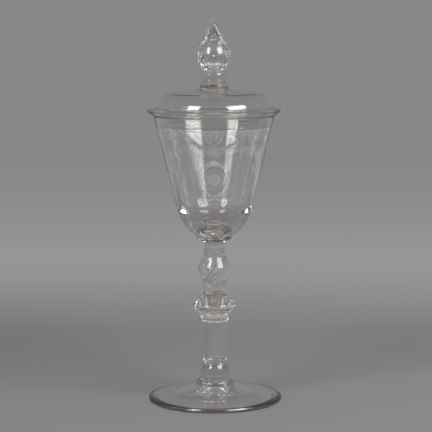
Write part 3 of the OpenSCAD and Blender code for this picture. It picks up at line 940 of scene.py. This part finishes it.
def spray(first, lean, last, pairs, leaf, wide):
    """A bent stem with pairs of leaves that point forward, long at its foot and short at its tip."""
    stem = cuts(first, lean, last, wide)
    t = np.linspace(0.12, 0.92, pairs)[:, None]
    on, along = curve(t, first, lean, last)
    side = left_of(along)
    long = leaf * (1.1 - 0.6 * t)
    leaves = [cuts(on, on + hand * 0.55 * long * side + 0.2 * long * along,
                   on + hand * 0.7 * long * side + 0.8 * long * along, 1.7 * wide) for hand in (-1, 1)]
    return np.vstack([stem] + leaves)


def scroll(first, out, wide):
    """A curl of two bends that ends in a bud."""
    first, out = np.array(first, float), np.array(out, float)
    side = left_of(out)
    end, bud = first + out, first + 0.72 * out + 0.3 * side
    return np.vstack([cuts(first, first + 0.7 * out - 0.45 * side, end, wide),
                      cuts(end, end + 0.34 * side, bud, wide),
                      cuts(bud, bud - 0.12 * out, bud - 0.24 * out, 2 * wide)])


print("wheel cuts are ready")

# %% [markdown]
# Three motifs fill the bowl: a frieze unit under the rim, a wreath for front and back, and a tall
# spray for the sides. They could be traced from a drawing, but rows of cuts stay sharp at any size.

# %% Motifs
HAIR, FINE, STAMEN, BOLD, LEAF, PETAL = 0.45, 0.6, 0.7, 1.0, 1.1, 1.5
WREATH_WIDE, WREATH_TALL = 11.6, 13.4


def frieze_unit():
    """A hanging tongue over a latticed cartouche, with a flower and a half palmette on each side."""
    tongue = both_hands(cuts((7.2, 0), (7.6, -7), (0, -9.6), BOLD),
                        cuts((4.6, -0.6), (4.8, -4.6), (0, -6.4), FINE),
                        cuts((2.2, -0.6), (2.2, -2.6), (1.4, -4.6), PETAL))
    cartouche = np.vstack([oval(5.6, 4.4, FINE), lattice(5.0, 3.8, 5, HAIR)])
    bands = both_hands(scroll((5.4, -16.5), (6.4, 3.4), FINE), scroll((6.6, -12.4), (4.6, -1.6), FINE))
    flower = np.vstack([petals(8, 1.0, 3.6, PETAL), petals(8, 0.2, 1.2, STAMEN, 112.5)])
    palmette = petals(7, 1.2, 5.2, LEAF, -90, 150)
    return np.vstack([tongue, moved(cartouche, 0, -15.4), bands,
                      moved(flower, 17, -6.4), moved(palmette, 17, -12.6)])


def wreath():
    """A leafy oval round a rosette, with a bow below and a small crown of leaves above."""
    mean = (WREATH_WIDE + WREATH_TALL) / 2
    turn = np.linspace(0.5 * np.pi, -0.5 * np.pi, 13)[1:-1]
    on = np.column_stack([WREATH_WIDE * np.cos(turn), WREATH_TALL * np.sin(turn)])
    along = np.column_stack([-WREATH_WIDE * np.sin(turn), WREATH_TALL * np.cos(turn)]) / mean
    out = on / mean
    leaves = [cuts(on, on + 2.0 * along + hand * 0.9 * out, on + 3.2 * along + hand * 2.0 * out, LEAF)
              for hand in (-1, 1)]
    sides = both_hands(*leaves)
    rosette = np.vstack([petals(12, 2.2, 6.2, 1.3), petals(6, 0.4, 2.2, BOLD), oval(7.2, 7.6, FINE, 16)])
    bow = both_hands(cuts((0, -14), (7, -11.4), (5.2, -15.4), BOLD),
                     cuts((5.2, -15.4), (3, -18), (0, -14), BOLD),
                     cuts((0.3, -14.4), (4, -18), (7.4, -17.6), BOLD))
    crest = moved(petals(5, 0.6, 4.2, LEAF, 90, 130), 0, 13.2)
    return np.vstack([sides, oval(WREATH_WIDE, WREATH_TALL, FINE, 20), rosette, bow, crest])


def side_spray():
    """A tall spray that bends over, with a flower at its tip and two scrolls at its foot."""
    tip = np.array((3.6, 19))
    flower = moved(np.vstack([petals(7, 0.8, 4.4, PETAL), petals(7, 0.2, 1.0, STAMEN)]), *tip)
    low = both_hands(scroll((0, -17), (7.5, 3.5), FINE))
    return np.vstack([spray((0, -18), (-6, 4), tip - (1, 3), 9, 6.4, BOLD), flower, low,
                      spray((-2.4, -6), (-7, 0), (-8.4, 7), 4, 3.4, FINE),
                      spray((-1.6, 4), (4, 6), (8, 12), 4, 3.4, FINE)])


print("cuts in a frieze unit, a wreath and a spray:", len(frieze_unit()), len(wreath()), len(side_spray()))

# %% [markdown]
# Grooves cut into the bowl's mesh would need a far finer mesh, so each cut lies on the outside as a
# film, a little proud in its middle and tapered to both tips. Its grain is dusty, with alpha from a
# noise, so that the bowl shines through it.

# %% Cuts on the bowl
CUT_LIFT = 0.03
CUT_PROUD = 0.13
CUT_RINGS = 7
CUT_TAPER = 0.6

outside = np.vstack([base_round, lip_outside[:1]])


def bowl_radius(height):
    """Radius of the bowl's outside at these heights."""
    return np.interp(height, outside[:, 1], outside[:, 0])


def laid_on_bowl(rows, share, turn):
    """Carries a three-sided section along each cut, with width and height falling to both tips as
    sin(pi t)^taper, and wraps the paper round the bowl so that its middle lies at this height and turn."""
    t = np.linspace(0, 1, CUT_RINGS + 2)[None, :, None]
    path, along = curve(t, rows[:, None, 0:2], rows[:, None, 2:4], rows[:, None, 4:6])
    side = left_of(along)
    taper = np.sin(np.pi * t) ** CUT_TAPER
    half = rows[:, None, 6:7] / 2 * taper
    height = bowl_low + share * bowl_tall
    flat = np.stack([path - half * side, path, path + half * side], 2)
    proud = np.stack([0 * taper, CUT_PROUD * taper, 0 * taper], 2)[..., 0] + CUT_LIFT
    angle = math.radians(turn) + flat[..., 0] / bowl_radius(height)
    up = height + flat[..., 1]
    radius = bowl_radius(up) + proud
    wrapped = np.stack([radius * np.sin(angle), -radius * np.cos(angle), up], 3)
    inner = wrapped[:, 1:-1].reshape(-1, 3)
    tips = wrapped[:, [0, -1], 1].reshape(-1, 3)
    ring = np.arange(len(rows) * CUT_RINGS * 3).reshape(len(rows), CUT_RINGS, 3)
    low, high = ring[:, :-1], ring[:, 1:]
    quads = np.stack([low, np.roll(low, -1, 2), np.roll(high, -1, 2), high], 3).reshape(-1, 4)
    tip = np.repeat(len(inner) + np.arange(len(rows) * 2).reshape(len(rows), 2, 1), 3, 2)
    foot = np.stack([tip[:, 0], np.roll(ring[:, 0], -1, 1), ring[:, 0]], 2).reshape(-1, 3)
    head = np.stack([tip[:, 1], ring[:, -1], np.roll(ring[:, -1], -1, 1)], 2).reshape(-1, 3)
    return np.vstack([inner, tips]), [quads, np.vstack([foot, head])]


def ring_cut(share, wide):
    """A line cut right round the bowl."""
    height = bowl_low + share * bowl_tall + np.array([-0.5, 0, 0.5]) * wide
    section = np.column_stack([bowl_radius(height) + CUT_LIFT + np.array([0, CUT_PROUD, 0]), height])
    return turned(section, np.zeros(3), around=AROUND_WIDE)


print("a cut has", CUT_RINGS, "rings")

# %% Engraving
CUT_WHITE = (0.86, 0.86, 0.87, 1.0)
CUT_GRAIN = 900.0
CUT_ROUGH, CUT_ROUGHER = 0.5, 0.3
CUT_DUST, CUT_DENSER = 0.06, 0.34
FRIEZE_UNITS = 8
FRIEZE_TOP = 0.884
WREATH_AT = 0.5
WREATH_TURNS = (0, 180)
SPRAY_TURNS = (-118, -62, 62, 118)
RING_CUTS = ((0.893, 1.0), (0.872, 0.5))


def matt_cut():
    """Ground glass: where the grain is strong, the film is rougher and denser."""
    material, nodes, place = new_finish("matt_cut")
    grain = noise(place, CUT_GRAIN, 2.0)
    film = nodes.add("BsdfPrincipled", {
        "Base Color": CUT_WHITE, "Roughness": CUT_ROUGH + CUT_ROUGHER * grain,
        "Alpha": CUT_DUST + CUT_DENSER * grain})
    nodes.add("OutputMaterial", {"Surface": film})
    return material


frieze_turns = 360 / FRIEZE_UNITS * np.arange(FRIEZE_UNITS)
drawn = [ring_cut(*ring) for ring in RING_CUTS]
drawn += [laid_on_bowl(frieze_unit(), FRIEZE_TOP, turn) for turn in frieze_turns]
drawn += [laid_on_bowl(wreath(), WREATH_AT, turn) for turn in WREATH_TURNS]
drawn += [laid_on_bowl(side_spray() if turn < 0 else side_spray() * MIRROR, WREATH_AT, turn)
          for turn in SPRAY_TURNS]
points, faces = joined(drawn)
mesh = new_mesh("bowl_engraving", uneven(points) * MM, faces, matt_cut())
engraving = put("bowl_engraving", mesh)
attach(engraving, "goblet")
print("engraving of", len(mesh.polygons), "faces")

# %% [markdown]
# The cover is blown like the bowl: a low crown, a round shoulder, and a spigot that drops into the
# mouth. It's one outline, up the inside and down the outside, so that the wall keeps its thickness.

# %% Cover shell
FLANGE_TALL = 4.4
DOME_INSET = 1.0
SHOULDER_TALL, SHOULDER_WIDE = 13.6, 13.5
SHOULDER_END = 6
CROWN_LEAN = 0.4
COVER_WALL = 2.6
FLARE_LIFT = 0.4
SPIGOT_DEEP = 9.0
SPIGOT_GAP = 0.7
FINIAL_SEAT = 12.0

cover_top = sum(place_of("cover_shell")[:2])
flange_low, _, flange_wide = place_of("cover_flange")
flange_top = flange_low + FLANGE_TALL
wall_slope = math.tan(math.radians(wall_inside))
mouth = hollow_round[0, 0] - (rim_top - SPIGOT_DEEP - hollow_round[0, 1]) * wall_slope
spigot = mouth - SPIGOT_GAP
dome = bowl_wide - DOME_INSET
lip = COVER_WALL / 2
flare_lift = FLARE_LIFT * COVER_WALL
shoulder_middle = (dome - SHOULDER_WIDE, flange_top)
shoulder_top = flange_top + SHOULDER_TALL
crown_lean = FINIAL_SEAT + CROWN_LEAN * (shoulder_middle[0] - FINIAL_SEAT)
finial_flat = collar_flat("finial_collar")

crown_inside = bend((FINIAL_SEAT, cover_top - COVER_WALL), (crown_lean, shoulder_top - COVER_WALL),
                    (shoulder_middle[0], shoulder_top - COVER_WALL))
shoulder_inside = arc(shoulder_middle, SHOULDER_WIDE - COVER_WALL, SHOULDER_TALL - COVER_WALL,
                      90, SHOULDER_END, 40)
flare_inside = straight((dome - COVER_WALL, flange_top + flare_lift),
                        (spigot - COVER_WALL, flange_low + flare_lift), 6)
spigot_foot = arc((spigot - lip, flange_low + lip - SPIGOT_DEEP), lip, lip, -180, 0, 20)
shoulder_round = arc(shoulder_middle, SHOULDER_WIDE, SHOULDER_TALL, 0, 90, 50)
crown_round = bend(shoulder_round[-1], (crown_lean, shoulder_top), (FINIAL_SEAT, cover_top))
cover_outline = outline(
    np.array([(0, cover_top - COVER_WALL)]), 8, crown_inside, shoulder_inside, 3, flare_inside, 8,
    spigot_foot, 8, seam((spigot, flange_low), shoulder_round[0], 4), shoulder_round, crown_round, 2,
    seam((finial_flat, cover_top), (0, cover_top)))
make_piece("cover_shell", "cover", [turned(*cover_outline, around=AROUND_WIDE)], finish=CROWNED)

# %% [markdown]
# The flange is a ring of glass laid round the cover, and it rests on the rim. Its edge is widest
# close to the top and narrows below, because a full round there would pipe the light to dark ears.

# %% Cover flange
FLANGE_EDGE = 3.8
EDGE_ROUND = 0.8
UNDERCUT, UNDERCUT_LEAN = 3.0, 1.0

edge_middle = (flange_wide - EDGE_ROUND, flange_low + FLANGE_EDGE - EDGE_ROUND)
under_edge = bend((flange_wide - UNDERCUT, flange_low),
                  (flange_wide - UNDERCUT_LEAN, flange_low + UNDERCUT_LEAN),
                  (flange_wide, edge_middle[1]), 16)
edge_round = arc(edge_middle, EDGE_ROUND, EDGE_ROUND, 0, 90, 14)
flange_points, flange_marks = outline(
    np.array([(spigot, flange_low)]), 10, under_edge, edge_round, 6,
    seam((dome, flange_top), (spigot, flange_low), 4))
make_piece("cover_flange", "cover", [turned(flange_points[:-1], flange_marks, around=AROUND_WIDE)])

# %% [markdown]
# The finial is a small stem of its own: a collar, a ring, a drop-shaped ball with air beads, and a
# spire that was drawn out hot, with a long tear of air in it. The tools of the stem make it too.

# %% Finial
NECK_END = 9.5
BALL_TOP = 11.0
BALL_BEADS, BALL_BEAD_WIDE, BALL_BEAD_TALL = 8, 4.6, 8.6
BALL_BEAD_RING, BALL_BEAD_HEIGHT = 7.8, 5.7
SPIRE_TIP = 1.9
SPIRE_CROWD = 1.5
TEAR_WIDE, TEAR_TALL, TEAR_FLOOR = 2.2, 17.4, 1.8
TEAR_AROUND = 48

collar("finial_collar", "cover", finial_flat, NECK_END)
wide = place_of("finial_neck")[2]
ring_keys = [(NECK_END, 0), (0.965 * wide, 0.28), (wide, 0.5), (0.955 * wide, 0.72), (0.98 * NECK_END, 0.92),
             (NECK_END, 1)]
make_swelling("finial_neck", "cover", ring_keys, NECK_END, NECK_END)

low, _, wide = place_of("finial_ball")
ball_keys = [(NECK_END, 0), (0.86 * wide, 0.2), (wide, 0.48), (0.96 * wide, 0.7), (0.875 * wide, 0.88),
             (BALL_TOP, 1)]
ball_beads = bead_ring(BALL_BEADS, BALL_BEAD_RING, low + BALL_BEAD_HEIGHT, BALL_BEAD_WIDE, BALL_BEAD_TALL)
make_swelling("finial_ball", "cover", ball_keys, NECK_END, BALL_TOP, ball_beads)

low, tall, _ = place_of("finial_spire")
spire_keys = [(BALL_TOP, 0), (0.773 * BALL_TOP, 0.25), (0.536 * BALL_TOP, 0.45), (1.85 * SPIRE_TIP, 0.62),
              (1.1 * SPIRE_TIP, 0.76), (0.95 * SPIRE_TIP, 0.93), (0, 1)]
tear_keys = [(0, 0), (0.76 * TEAR_WIDE, 0.02), (TEAR_WIDE, 0.1), (0.6 * TEAR_WIDE, 0.35),
             (0.5 * TEAR_WIDE, 0.6), (0.5 * TEAR_WIDE, 0.9), (0, 1)]
share = 1 - np.linspace(1, 0, 121) ** SPIRE_CROWD
side = np.column_stack([swell_radius(spire_keys, share), low + tall * share])
spire = turned(*outline(seam((0, low), side[0]), side))
share = crowded(80)
tear = np.column_stack([swell_radius(tear_keys, share), low + TEAR_FLOOR + TEAR_TALL * share])
make_piece("finial_spire", "cover", [spire, void(tear, TEAR_AROUND)])
